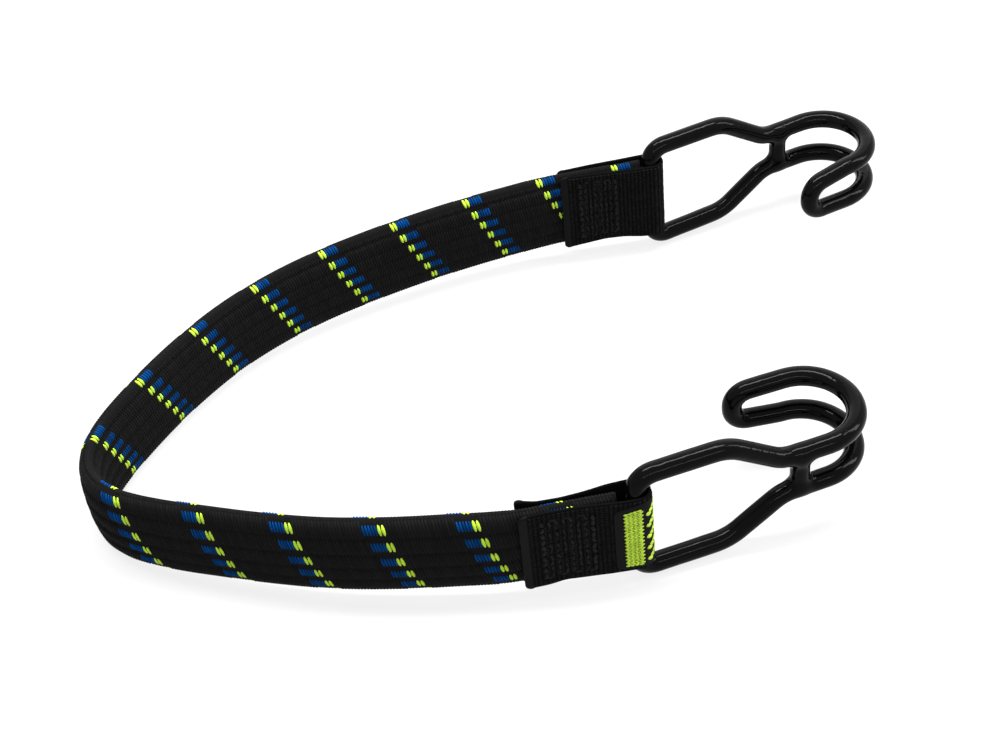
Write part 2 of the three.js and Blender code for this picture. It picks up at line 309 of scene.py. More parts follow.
def dippedVinyl():
    # Plastisol dip on hot wire: thick, glossy, gently uneven like orange peel, with a duller handled bloom
    material, tree, shader = startMaterial("dipped black vinyl", {
        "Base Color": linear("#060606"), "IOR": 1.52, "Specular IOR Level": 0.055,
    })
    place = addNode(tree, "ShaderNodeTexCoord")
    bloom = addNode(tree, "ShaderNodeTexNoise", {
        "Vector": place.outputs["Object"], "Scale": 1 / (9 * mm), "Detail": 3.0,
    })
    rough = addNode(tree, "ShaderNodeMapRange", {
        "Value": bloom.outputs["Fac"], "From Min": 0.3, "From Max": 0.7, "To Min": 0.04, "To Max": 0.13,
    })
    peel = addNode(tree, "ShaderNodeTexNoise", {
        "Vector": place.outputs["Object"], "Scale": 1 / (1.6 * mm), "Detail": 1.0,
    })
    bump = addNode(tree, "ShaderNodeBump", {
        "Height": peel.outputs["Fac"], "Strength": 0.3, "Distance": 0.2 * mm,
    })
    setInputs(tree, shader, {"Roughness": rough.outputs["Result"], "Normal": bump.outputs["Normal"]})
    return material


def sealedWebbing():
    # Webbing ground with its cut ends melted by the hot knife: matte weave painted darker as shade, then a
    # smoother, greyer strip
    material, tree, shader = startMaterial("heat-sealed polyester webbing", {
        "IOR": 1.5, "Specular IOR Level": 0.055,
    })
    flat = addNode(tree, "ShaderNodeUVMap", uv_map="flat")
    apart = addNode(tree, "ShaderNodeSeparateXYZ", {0: flat.outputs["UV"]})
    # the map's X is the distance from the nearer cut end in millimetres
    melted = addNode(tree, "ShaderNodeMapRange", {
        "Value": apart.outputs["X"], "From Min": 1.7, "From Max": 2.5,
    })
    sealAndGapShade = addNode(tree, "ShaderNodeValToRGB", {"Fac": melted.outputs["Result"]})
    # the melted strip's own tone, then the weave's ground painted darker as shade, as it shows only between
    # the floats
    sealAndGapShade.color_ramp.elements[0].color = linear("#0c0c0c")
    sealAndGapShade.color_ramp.elements[1].color = linear("#080808")
    rough = addNode(tree, "ShaderNodeMapRange", {
        "Value": melted.outputs["Result"], "To Min": 0.55, "To Max": 0.9,
    })
    grain = addNode(tree, "ShaderNodeTexNoise", {
        "Vector": flat.outputs["UV"], "Scale": 1 / 0.7, "Detail": 2.0,
    })
    bump = addNode(tree, "ShaderNodeBump", {
        "Height": grain.outputs["Fac"], "Strength": 0.25, "Distance": 0.15 * mm,
    })
    setInputs(tree, shader, {
        "Base Color": sealAndGapShade.outputs["Color"], "Roughness": rough.outputs["Result"],
        "Normal": bump.outputs["Normal"],
    })
    return material


# yarns: colour, roughness, how far the floats differ in tone, and gloss
finishes = {
    "blackYarn": polyesterYarn("black polyester yarn", "#191919", 0.75, 0.16, 0.02),
    "limeYarn": polyesterYarn("lime polyester yarn", "#c7ef45", 0.65, 0.08),
    "blueYarn": polyesterYarn("blue polyester yarn", "#004282", 0.7, 0.25, 0.02),
    "webbingYarn": polyesterYarn("black webbing yarn", "#151515", 0.6, 0.3, 0.02),
    "thread": polyesterYarn("bonded black thread", "#171717", 0.55, 0.3, 0.06),
    "labelGround": polyesterYarn("woven label ground", "#0d0d0f", 0.8, 0.1),
    "labelLime": polyesterYarn("lime label yarn", "#d2f652", 0.68, 0.14),
    "ground": jacketGround(),
    "latex": naturalLatex(),
    "steel": drawnSteel(),
    "vinyl": dippedVinyl(),
    "webbing": sealedWebbing(),
}
print("materials made:", len(finishes))


# Yarn floats: one tree lays a small rounded float at each point, sized and turned by the point's own values
def yarnTree():
    tree = bpy.data.node_groups.new("yarnFloats", "GeometryNodeTree")
    inputs = {
        "Points": "Geometry", "Sides": "Int", "Rings": "Int", "End Fullness": "Float", "Finish": "Material",
    }
    for name, kind in inputs.items():
        tree.interface.new_socket(name, in_out="INPUT", socket_type="NodeSocket" + kind)
    tree.interface.new_socket("Floats", in_out="OUTPUT", socket_type="NodeSocketGeometry")
    given = addNode(tree, "NodeGroupInput")
    size = addNode(tree, "GeometryNodeInputNamedAttribute", {"Name": "yarnSize"}, data_type="FLOAT_VECTOR")
    turn = addNode(tree, "GeometryNodeInputNamedAttribute", {"Name": "yarnTurn"}, data_type="FLOAT_VECTOR")
    grain = addNode(tree, "GeometryNodeMeshUVSphere", {
        "Segments": given.outputs["Sides"], "Rings": given.outputs["Rings"], "Radius": 1.0,
    })
    # a power below 1 moves the rings towards the poles, which makes the float's ends fuller
    place = addNode(tree, "GeometryNodeInputPosition")
    apart = addNode(tree, "ShaderNodeSeparateXYZ", {0: place.outputs["Position"]})
    off = addNode(tree, "ShaderNodeMath", {0: apart.outputs["Z"]}, operation="ABSOLUTE")
    full = addNode(tree, "ShaderNodeMath", {
        0: off.outputs["Value"], 1: given.outputs["End Fullness"],
    }, operation="POWER")
    side = addNode(tree, "ShaderNodeMath", {0: apart.outputs["Z"]}, operation="SIGN")
    spread = addNode(tree, "ShaderNodeMath", {
        0: full.outputs["Value"], 1: side.outputs["Value"],
    }, operation="MULTIPLY")
    moved = addNode(tree, "ShaderNodeCombineXYZ", {
        "X": apart.outputs["X"], "Y": apart.outputs["Y"], "Z": spread.outputs["Value"],
    })
    blunt = addNode(tree, "GeometryNodeSetPosition", {
        "Geometry": grain.outputs["Mesh"], "Position": moved.outputs["Vector"],
    })
    lying = addNode(tree, "GeometryNodeTransform", {
        "Geometry": blunt.outputs["Geometry"], "Rotation": (math.pi / 2, 0, 0), "Scale": (0.5, 0.5, 0.5),
    })
    spun = addNode(tree, "FunctionNodeEulerToRotation", {0: turn.outputs["Attribute"]})
    laid = addNode(tree, "GeometryNodeInstanceOnPoints", {
        "Points": given.outputs["Points"], "Instance": lying.outputs["Geometry"],
        "Rotation": spun.outputs["Rotation"], "Scale": size.outputs["Attribute"],
    })
    real = addNode(tree, "GeometryNodeRealizeInstances", {"Geometry": laid.outputs["Instances"]})
    rounded = addNode(tree, "GeometryNodeSetShadeSmooth", {"Geometry": real.outputs["Geometry"]})
    dyed = addNode(tree, "GeometryNodeSetMaterial", {
        "Geometry": rounded.outputs["Geometry"], "Material": given.outputs["Finish"],
    })
    addNode(tree, "NodeGroupOutput", {"Floats": dyed.outputs["Geometry"]})
    return tree


floatsTree = yarnTree()
sockets = {item.name: item.identifier for item in floatsTree.interface.items_tree if item.in_out == "INPUT"}


def yarnFloats(name, rows, finish, wrap, sides=6, rings=5, fullness=0.65, seed=1):
    # a row is a float's place, its width, length and height and its turn, all laid flat in millimetres;
    # the floats are then wrapped onto the piece that they are woven into
    rows = np.asarray(rows, float)
    count = len(rows)
    dots = bpy.data.meshes.new(name + "_dots")
    dots.from_pydata(rows[:, :3].tolist(), [], [])
    upright = np.column_stack([np.zeros(count), np.zeros(count), rows[:, 6]])
    for key, values in (("yarnSize", rows[:, 3:6]), ("yarnTurn", upright)):
        dots.attributes.new(key, "FLOAT_VECTOR", "POINT").data.foreach_set("vector", np.ravel(values))
    tone = np.random.default_rng(seed).random(count)
    dots.attributes.new("tone", "FLOAT", "POINT").data.foreach_set("value", tone.astype(np.float32))
    holder = addObject(name + "_dots", dots)
    lay = holder.modifiers.new("yarnFloats", "NODES")
    lay.node_group = floatsTree
    for key, value in (("Sides", sides), ("Rings", rings), ("End Fullness", fullness), ("Finish", finish)):
        lay[sockets[key]] = value
    data = plainMesh(holder)
    data.name = name
    flat = np.zeros(len(data.vertices) * 3, np.float32)
    data.vertices.foreach_get("co", flat)
    flat = flat.reshape(-1, 3).astype(float)
    mapFlat(data, flat[:, :2])
    data.vertices.foreach_set("co", toPart(wrap(flat)).ravel())
    faceOutwards(data)
    data.update()
    return addObject(name, data)


# Elastic strap, measured along its middle line (s), round its section (q) and out from its face (h)
strap = {
    "width": 25.0, "thickness": 5.8, "ovalPower": 2.5,
    "sewnPress": 0.78, "swellLength": 6.0,  # pressed flat where it is sewn down
    "endReach": {"rear": 6.6, "front": 4.9},  # the ends run on into the tabs, nearly to the bars
    "tabLift": {"rear": 0.6, "front": -0.4}, "liftLength": 18.0,  # sewn in a little high or low
    "innerRibs": (-9.2, -5.1, -1.0, 3.1, 7.2, 11.6),  # heights of the ribs up the inside of the U
    "outerRibs": (10.2, 5.0, -0.2, -4.7, -8.9),  # and down the outside
    "ribDepth": 0.18, "ribPower": 0.8,  # the lower the power, the flatter the ribs
    # the ribs stand up where the strap bends: from the lower to the higher turn per millimetre,
    # averaged over a window of the line's steps
    "bendDepth": 0.4, "bends": (0.003, 0.035), "bendWindow": 81,
    "wall": 0.5, "sink": 0.15,  # the weave's middle lies this far inside the outline
    "ringStep": 1.5, "ribSteps": 6, "sectionSteps": 2881,
    "lineStep": 0.25, "pathEvery": 4,  # steps of the middle line, and how many to a point of the cord's path
}
weave = {
    "repeat": 22.42, "firstTick": 23.45,  # repeat of the tracer marks, and the first mark on the top rib
    # where each rib's mark lies from the top rib's, once round the section from the bottom edge
    "tickSteps": (-11.4, -9.85, -7.88, -5.91, -3.94, -1.97, 0.0, 2.44, 4.1, 5.8, 7.65, 9.5),
    "limeFloats": 2, "limePitch": 0.975, "blueFloats": 5, "bluePitch": 0.75, "blackFloats": 21,
    "reach": {"limeYarn": 0.65, "blueYarn": 0.62, "blackYarn": 1.1},  # a float's length as a share of its rib
    "full": {"limeYarn": 0.94, "blueYarn": 0.84, "blackYarn": 1.12},  # its width as a share of the pitch
    "ends": {"limeYarn": 1.15, "blueYarn": 0.95, "blackYarn": 0.65},  # the lower, the blunter
    "slant": 0.19, "height": 0.44, "endMargin": 0.4,
}

strapEnds = [plan[i] + strap["endReach"][end] * ends[end]["away"] for i, end in ((0, "rear"), (-1, "front"))]
strapLine = smoothLine(np.vstack([strapEnds[0], plan, strapEnds[1]]), strap["lineStep"])
strapArc = arcOf(strapLine)
strapLength = strapArc[-1]
strapAlong = alongOf(strapLine, strapArc)
turning = np.linalg.norm(np.gradient(strapAlong, strapArc, axis=0), axis=1)
evenly = np.full(strap["bendWindow"], 1 / strap["bendWindow"])
bendShare = np.interp(np.convolve(turning, evenly, "same"), strap["bends"], (0, 1))


def sectionTable():
    power = 2 / strap["ovalPower"]
    angle = np.linspace(0, 2 * math.pi, strap["sectionSteps"])
    bent = [np.sign(f(angle)) * np.abs(f(angle)) ** power for f in (np.sin, np.cos)]
    inward, height = strap["thickness"] / 2 * bent[0], -strap["width"] / 2 * bent[1]
    girth = arcOf(np.column_stack([inward, height]))
    return girth, inward, height, np.gradient(height, girth), -np.gradient(inward, girth)


girthAt, inwardAt, heightAt, outInward, outHeight = sectionTable()
girth = girthAt[-1]


def ribPlaces():
    half = len(girthAt) // 2 + 1
    up = np.interp(strap["innerRibs"], heightAt[:half], girthAt[:half])
    down = np.interp(strap["outerRibs"], heightAt[half - 1:][::-1], girthAt[half - 1:][::-1])
    middles = np.concatenate([[0.0], up, down])
    following = np.append(middles[1:], girth)
    between = (middles + following) / 2
    return middles, np.append(between[-1] - girth, between)


ribMiddles, grooves = ribPlaces()


def relief(s, q):  # how far a rib's back lies inside the section's outline
    wrapped = np.where(q % girth > grooves[-1], q % girth - girth, q % girth)
    k = np.clip(np.searchsorted(grooves, wrapped, side="right") - 1, 0, len(grooves) - 2)
    t = np.clip((wrapped - grooves[k]) / (grooves[k + 1] - grooves[k]), 0, 1)
    depth = strap["ribDepth"] + strap["bendDepth"] * np.interp(s, strapArc, bendShare)
    return -depth * (1 - np.sin(math.pi * t) ** strap["ribPower"])


def freeShare(s, end, length):  # 0 inside a tab, 1 from that length outside it
    fromEnd = (s if end == "rear" else strapLength - s) - strap["endReach"][end] - tab["sewnLength"]
    t = np.clip(fromEnd / length, 0, 1)
    return t * t * (3 - 2 * t)


def press(s):
    free = np.minimum(*(freeShare(s, end, strap["swellLength"]) for end in ends))
    return strap["sewnPress"] + (1 - strap["sewnPress"]) * free


def acrossStrap(s, across, height):
    x, y, tx, ty = (np.interp(s, strapArc, v) for v in (*strapLine.T, *strapAlong.T))
    lift = sum(strap["tabLift"][end] * (1 - freeShare(s, end, strap["liftLength"])) for end in ends)
    return np.column_stack([x - ty * across, y + tx * across, height + lift])


def ontoStrap(flat):
    s, q, h = flat.T
    x, z, outX, outZ = (np.interp(q % girth, girthAt, v) for v in (inwardAt, heightAt, outInward, outHeight))
    out = relief(s, q) - strap["sink"] + h
    return acrossStrap(s, x * press(s) + outX * out, z + outZ * out)


def jacketBase():
    rows = int(strapLength / strap["ringStep"]) + 1
    steps = np.linspace(0, 1, strap["ribSteps"], endpoint=False)
    ringQ = np.concatenate([a + (b - a) * steps for a, b in zip(grooves[:-1], grooves[1:])])
    columns = len(ringQ)
    s, q = (v.ravel() for v in np.meshgrid(np.linspace(0, strapLength, rows), ringQ, indexing="ij"))
    outside = np.column_stack([s, q, np.zeros_like(s)])
    inside = np.column_stack([s, q, np.full_like(s, -strap["wall"])])
    flipped = inside.reshape(rows, columns, 3)[::-1].reshape(-1, 3)
    flat = np.concatenate([outside, flipped])
    faces = gridFaces(2 * rows, columns, closedRows=True)
    return meshPiece("jacket_ground", toPart(ontoStrap(flat)), faces, finishes["ground"], flat[:, :2])


def weaveFloats():
    limeRun, blueRun = (weave[dye + "Floats"] * weave[dye + "Pitch"] for dye in ("lime", "blue"))
    blackPitch = (weave["repeat"] - limeRun - blueRun) / weave["blackFloats"]
    kinds = [("blueYarn", weave["bluePitch"])] * weave["blueFloats"]
    kinds += [("limeYarn", weave["limePitch"])] * weave["limeFloats"]
    kinds += [("blackYarn", blackPitch)] * weave["blackFloats"]
    laid = {"blackYarn": [], "limeYarn": [], "blueYarn": []}
    turn, margin = -math.atan(weave["slant"]), weave["endMargin"]
    for k, q in enumerate(ribMiddles):
        ribWidth = grooves[k + 1] - grooves[k]
        # the marks climb round the section as a helix, one repeat to a turn
        tick = strap["endReach"]["rear"] + weave["firstTick"] + weave["tickSteps"][k] - 2 * weave["repeat"]
        while tick < strapLength + weave["repeat"]:
            s = tick - blueRun - limeRun / 2
            for kind, pitch in kinds:
                if margin < s + pitch / 2 < strapLength - margin:
                    laid[kind].append((s + pitch / 2, q, 0.0, pitch * weave["full"][kind],
                                       ribWidth * weave["reach"][kind], weave["height"], turn))
                s += pitch
            tick += weave["repeat"]
    pieces = {}
    for seed, (kind, rows) in enumerate(laid.items()):
        pieces[kind] = yarnFloats("jacket_" + kind, rows, finishes[kind], ontoStrap,
                                  fullness=weave["ends"][kind], seed=seed)
        print("strap floats,", kind, len(rows))
    return pieces


jacket = jacketBase()
jacketYarns = weaveFloats()
print("strap woven, mm long:", round(strapLength, 1))

# Rubber strands side by side inside the jacket
strand = {
    "count": 6, "boreWidth": 23.4, "boreThickness": 4.2, "edgeSpace": 1.6, "gap": 0.4, "clearance": 0.45,
    "squeeze": 0.5,  # how much more than the jacket it is pressed flat where it is sewn down
    "sides": 12, "ringStep": 2.0,
}


def rubberStrands():
    pitch = (strand["boreWidth"] - 2 * strand["edgeSpace"]) / strand["count"]
    halfWidth = (pitch - strand["gap"]) / 2
    rows = int(strapLength / strand["ringStep"]) + 1
    s = np.repeat(np.linspace(0, strapLength, rows), strand["sides"])
    angle = np.tile(np.linspace(0, 2 * math.pi, strand["sides"], endpoint=False), rows)
    faces = gridFaces(rows, strand["sides"], capped=True)
    made = []
    for i in range(strand["count"]):
        middle = (i - (strand["count"] - 1) / 2) * pitch
        share = 2 * (abs(middle) + halfWidth / 2) / strand["boreWidth"]
        half = strand["boreThickness"] / 2 * (1 - share ** strap["ovalPower"]) ** (1 / strap["ovalPower"])
        thick = (half - strand["clearance"]) * (press(s) - strand["squeeze"] * (1 - press(s)))
        points = acrossStrap(s, thick * np.sin(angle), middle - halfWidth * np.cos(angle))
        made.append(meshPiece(f"strand_{i + 1}", toPart(points), faces, finishes["latex"]))
    return made


strands = rubberStrands()

# Ends of the stretch of the strap's front leg, which would go with the front end while the rear leg and the
# bend's far side stay
stretch = {"start": (-105.8, -30.8, 0.0), "end": (-70.2, -102.0, 0.0)}
stretchStart, stretchEnd = toPart([stretch["start"], stretch["end"]]).tolist()
for piece in [jacket, *jacketYarns.values(), *strands]:
    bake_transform(piece)
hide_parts("elastic_jacket")
for i, piece in enumerate(strands):
    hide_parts(f"rubber_strand_{i + 1}")
linePoints = np.insert(strapLine[::strap["pathEvery"]], 2, 0.0, axis=1)
toPart(linePoints[0])
toPart(linePoints).tolist()
print("rubber strands laid:", len(strands))

# Webbing tabs, measured along from the nearer ply's cut end (u), up the width (w) and out from it (h)
webbing = {
    "under": -0.42, "over": 0.2, "seal": 0.4,  # ground's two faces, and the melted strip's outer face
    "sealLength": 1.9, "sealSlope": (0.3, 0.4),  # past its length the strip slopes down to the weave
    "corner": 1.6, "edgeRound": 0.3, "selvedge": 0.9,
    "endStations": (0, 0.05, 0.14, 0.3, 0.55, 0.9, 1.3, 1.8, 2.3, 2.6, 2.9),
    "inset": (3.3, 3.2), "step": 0.375, "easeMargin": 4, "easeSteps": 301, "easeWindow": 19,
    "rowPitch": 0.78, "rowFill": 0.96, "floatPitch": 1.15, "firstFloat": 0.7,
    "floatLength": 1.14, "floatHeight": 0.5,
    "scatter": {"along": 0.03, "out": 0.02, "turn": 0.03}, "seed": 20,
    "stitchDent": 0.14, "dentWidth": 0.5, "dentMargin": 0.6, "dentFloor": -0.2,  # only the outer side dents
    # how far the edges are drawn in by the stitching, along the webbing: (u, millimetres)
    "topDrop": {
        "rear": [(0, -0.8), (10, -0.2), (22, 0.6), (28, 0.6), (33, 0.2), (50, 0.2), (56, 0.3),
                 (62, 0.6), (68, 0.7)],
        "front": [(-1, 0.6), (5, 0.2), (13, 0.2), (18, 0.7), (25, 1.2), (33, 0.6), (40, 0.0), (45, 0.2),
                  (51, 1.2), (56, 1.7), (62, 1.6), (65, 0.6), (68, -0.6)],
    },
    "bottomRise": {
        "rear": [(0, 0.3), (9, 1.0), (13, 1.3), (19, 0.8), (24, -0.2), (28, -0.5), (41, 0.0), (50, 0.9),
                 (56, 1.2), (62, 1.0), (68, 0.6)],
        "front": [(0, -0.6), (5, -0.4), (9, 0.4), (13, 0.0), (20, -0.5), (25, -0.5), (31, -0.5), (41, 0.0),
                  (50, 0.6), (59, 0.9), (68, 0.3)],
    },
}
stitch = {
    "rows": 8, "pitch": {"rear": 1.5, "front": 1.75}, "height": 20.0, "lastRow": 16.5, "perRow": 10,
    "lean": 14.0, "width": 0.66, "edgeWidth": 0.95, "length": 0.9, "thickness": 0.5, "stand": 0.27,
    "edgeStand": 0.2, "unevenness": 0.1, "turnSpread": 0.08, "turnLength": 1.15, "seed": 30,
}
ribbon = {"steps": 37, "endFace": 0.04}  # points across a strip, and how blunt its ends are


def foldedLine(end):
    turn = np.radians(np.linspace(-tab["foldTurn"], tab["foldTurn"], tab["foldSteps"]))
    fold = tab["foldRadius"] * np.column_stack([np.cos(turn), np.sin(turn)])
    inner = -tab["length"] - tab["hemReach"][end]
    near = [(inner, -tab["plyMiddle"]), (tab["sewnLength"] - tab["length"], -tab["plyMiddle"])]
    corners = np.concatenate([near, fold, [(x, -y) for x, y in reversed(near)]])
    reach = arcOf(corners)
    fine = np.linspace(0, reach[-1], tab["lineSteps"])
    line = np.column_stack([np.interp(fine, reach, v) for v in corners.T])
    arc = arcOf(line) - tab["hemReach"][end]
    return {"line": line, "arc": arc, "along": alongOf(line, arc), "first": arc[0], "last": arc[-1]}


tabLines = {end: foldedLine(end) for end in ends}
tabReach = tabLines["rear"]["first"] + tabLines["rear"]["last"]
rowsBack = np.arange(stitch["rows"])[::-1]
stitchPlaces = {end: stitch["lastRow"] - pitch * rowsBack for end, pitch in stitch["pitch"].items()}


def eased(pairs):  # a table of offsets along the webbing, with its corners rounded off
    margin, window = webbing["easeMargin"], webbing["easeWindow"]
    fine = np.linspace(-margin, tabReach + margin, webbing["easeSteps"])
    offset = np.interp(fine, *np.array(pairs, float).T)
    return fine[window // 2:-(window // 2)], np.convolve(offset, softWindow(window), "valid")


def ontoTab(end):
    bar, away, way = ends[end]["bar"], ends[end]["away"], tabLines[end]
    left = np.array((-away[1], away[0]))
    topDrop, bottomRise = eased(webbing["topDrop"][end]), eased(webbing["bottomRise"][end])

    def wrap(flat):
        u, w, h = flat.T
        fromCut = np.minimum(u, tabReach - u)
        offRow = np.abs(fromCut[:, None] - stitchPlaces[end]).min(axis=1)
        sewn = np.abs(w) < stitch["height"] / 2 + webbing["dentMargin"]
        pulled = np.exp(-(offRow / webbing["dentWidth"]) ** 2) * sewn
        out = h - webbing["stitchDent"] * pulled * (h > webbing["dentFloor"])
        x, y, tx, ty = (np.interp(u, way["arc"], v) for v in (*way["line"].T, *way["along"].T))
        top = tab["width"] / 2 - np.interp(u, *topDrop)
        low = np.interp(u, *bottomRise) - tab["width"] / 2
        x, y = x + ty * out, y - tx * out
        place = bar + x[:, None] * away + y[:, None] * left
        return np.column_stack([place, low + (top - low) * (w / tab["width"] + 0.5)])

    return wrap


def stripStations(first, last, cloth):  # close together at both ends, even between them
    cuts, inset = np.array(cloth["endStations"]), cloth["inset"]
    between = np.arange(first + inset[0], last - inset[1], cloth["step"])
    return np.concatenate([first + cuts, between, (last - cuts)[::-1]])


def ribbonSlab(name, stations, halfWidth, over, cloth, wrap, finish, cutAt):
    # closed strip with rounded long edges and corners; over is its outer face at each station
    under, corner, edgeRound = cloth["under"], cloth["corner"], cloth["edgeRound"]
    steps, full = np.linspace(-1, 1, ribbon["steps"]), np.ones(ribbon["steps"])
    ringW = np.concatenate([steps, [1.0], steps[::-1], [-1.0]])
    ringSide = np.concatenate([full, [0.0], -full, [0.0]])
    columns = len(ringW)
    first, last = stations[0], stations[-1]
    fromCut = np.minimum(stations - first, last - stations)
    cut = corner - np.sqrt(np.clip(corner**2 - np.clip(corner - fromCut, 0, None) ** 2, 0, None))
    edge = np.clip(1 - (fromCut + ribbon["endFace"]) / edgeRound, 0, None)
    thin = np.sqrt(np.clip(1 - edge**2, 0, 1))
    middle, half = (over + under) / 2, (over - under) / 2
    w = (halfWidth - cut)[:, None] * ringW - edgeRound * np.sign(ringW) * np.abs(ringSide)
    h = middle[:, None] + (half * thin)[:, None] * ringSide
    u = np.repeat(stations, columns)
    flat = np.column_stack([u, w.ravel(), h.ravel()])
    map2d = np.column_stack([cutAt(u), w.ravel()])
    faces = gridFaces(len(stations), columns, capped=True)
    return meshPiece(name, toPart(wrap(flat)), faces, finish, map2d)


def webbingGround(end, wrap):
    first, last = tabLines[end]["first"], tabLines[end]["last"]
    stations = stripStations(first, last, webbing)

    def fromCut(u):
        return np.minimum(u - first, last - u)

    past, slope = webbing["sealSlope"]
    sealed = np.clip((webbing["sealLength"] + past - fromCut(stations)) / slope, 0, 1)
    over = webbing["over"] + (webbing["seal"] - webbing["over"]) * sealed
    return ribbonSlab(f"{end}_webbing", stations, tab["width"] / 2, over, webbing, wrap,
                      finishes["webbing"], fromCut)


def webbingFloats(end, wrap, seed):
    first, last = tabLines[end]["first"], tabLines[end]["last"]
    rowCount = int((tab["width"] - webbing["selvedge"]) / webbing["rowPitch"])
    size = webbing["floatLength"], webbing["rowPitch"] * webbing["rowFill"], webbing["floatHeight"]
    rng = np.random.default_rng(seed)
    rows = []
    for k in range(rowCount):
        w = (k - (rowCount - 1) / 2) * webbing["rowPitch"]
        u = first + webbing["sealLength"] + webbing["floatPitch"] * webbing["firstFloat"]
        while u < last - webbing["sealLength"] - webbing["floatPitch"] / 2:
            du, dh, turn = (rng.normal(0, webbing["scatter"][way]) for way in ("along", "out", "turn"))
            rows.append((u + du, w, webbing["over"] + dh, *size, turn))
            u += webbing["floatPitch"]
    print(end, "webbing floats:", len(rows))
    return yarnFloats(f"{end}_webbing_weave", rows, finishes["webbingYarn"], wrap, seed=seed)


def stitchFloats(name, end, wrap, farPly, seed):
    rng = np.random.default_rng(seed)
    pitch, step = stitch["height"] / stitch["perRow"], stitch["pitch"][end]
    rows = []
    for r, place in enumerate(stitchPlaces[end]):
        outer = r in (0, stitch["rows"] - 1)  # the outer rows stand prouder
        width = stitch["edgeWidth"] if outer else stitch["width"]
        for k in range(stitch["perRow"]):
            w = (k + 0.5) * pitch - stitch["height"] / 2
            turn = math.radians(stitch["lean"]) * (1 if k % 2 else -1)
            turn += rng.normal(0, stitch["turnSpread"])
            stand = stitch["stand"] + outer * stitch["edgeStand"] + rng.normal(0, stitch["unevenness"])
            rows.append((place, w, stand, width, pitch * stitch["length"], stitch["thickness"], turn))
        if r < stitch["rows"] - 1:  # the row turns into the next at its end
            w = stitch["height"] / 2 * (1 if r % 2 else -1)
            rows.append((place + step / 2, w, stitch["stand"], stitch["width"], step * stitch["turnLength"],
                         stitch["thickness"], math.pi / 2))
    rows = np.array(rows)
    if farPly:
        rows[:, 0] = tabReach - rows[:, 0]
    return yarnFloats(name, rows, finishes["thread"], wrap, sides=8, rings=7, fullness=0.55, seed=seed)


tabBody = {"rear": "strap", "front": "front_end"}
plyOf = {"rear": ("bobbin", "needle"), "front": ("needle", "bobbin")}  # thread on the nearer, the farther ply
for seed, end in enumerate(ends):
    wrap = ontoTab(end)
    ground, floats = webbingGround(end, wrap), webbingFloats(end, wrap, webbing["seed"] + seed)
    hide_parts(f"{end}_webbing_tab")
    for piece in (ground, floats):
        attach(piece, tabBody[end])
    for ply, thread in enumerate(plyOf[end]):
        threadSeed = stitch["seed"] + 2 * seed + ply
        piece = stitchFloats(f"{end}_{thread}_stitches", end, wrap, ply == 1, threadSeed)
        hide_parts(f"{end}_{thread}_thread")
        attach(piece, tabBody[end])
    print(end, "tab sewn")

# Woven label round the fold of the front tab, with a plain panel and a row of slanted bars
label = {
    "from": 21.6, "to": 33.8, "halfHeight": 11.3, "under": 0.3, "over": 0.55, "corner": 1.6,
    "edgeRound": 0.12, "endStations": (0, 0.04, 0.1, 0.25, 0.5, 0.9, 1.4), "inset": (1.8, 1.5), "step": 0.3,
    "slip": 1.5, "slipLength": 7.0,  # its loose corner is sewn down low
    "panelFrom": 24.0, "panelTo": 28.4, "panelHalf": 10.1, "panelMiddle": -0.45, "zigzag": 0.16,
    "rowPitch": 0.65, "perRow": 4, "yarnWidth": 0.62, "yarnHeight": 0.3, "overlap": 1.1,
    "barFrom": 29.5, "barTo": 32.6, "barRise": 3.2, "barPitch": 4.0, "bars": 5, "barFloats": 4,
    "barWidth": 1.6, "barOverlap": 1.15, "seed": 40,
}


def labelGround(wrap):
    stations = stripStations(label["from"], label["to"], label)
    return ribbonSlab("label_ground", stations, label["halfHeight"], np.full_like(stations, label["over"]),
                      label, wrap, finishes["labelGround"], lambda u: u)


def labelYarns(wrap):
    rows = []
    length = (label["panelTo"] - label["panelFrom"]) / label["perRow"]
    count = int(2 * label["panelHalf"] / label["rowPitch"])
    for k in range(count):
        w = (k - (count - 1) / 2) * label["rowPitch"] + label["panelMiddle"]
        for i in range(label["perRow"]):
            u = label["panelFrom"] + (i + 0.5) * length + (label["zigzag"] if k % 2 else -label["zigzag"])
            rows.append((u, w, label["over"], length * label["overlap"], label["yarnWidth"],
                         label["yarnHeight"], 0.0))
    run, rise = label["barTo"] - label["barFrom"], label["barRise"]
    turn, step = math.atan2(rise, run), math.hypot(run, rise) / label["barFloats"]
    for b in range(label["bars"]):
        start = (b - (label["bars"] - 1) / 2) * label["barPitch"] - rise / 2
        for i in range(label["barFloats"]):
            t = (i + 0.5) / label["barFloats"]
            rows.append((label["barFrom"] + run * t, start + rise * t, label["over"],
                         step * label["barOverlap"], label["barWidth"], label["yarnHeight"], turn))
    return yarnFloats("label_lime", rows, finishes["labelLime"], wrap, seed=label["seed"])


def ontoLabel(flat):
    u, w, h = flat.T
    loose = np.clip(1 - (u - label["from"]) / label["slipLength"], 0, 1)
    slip = label["slip"] * loose * (0.5 + 0.5 * w / label["halfHeight"])
    return frontWrap(np.column_stack([u, w - slip, h]))


frontWrap = ontoTab("front")
labelPieces = [labelGround(ontoLabel), labelYarns(ontoLabel)]
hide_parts("woven_label")
for piece in labelPieces:
    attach(piece, "front_end")
print("label sewn on")

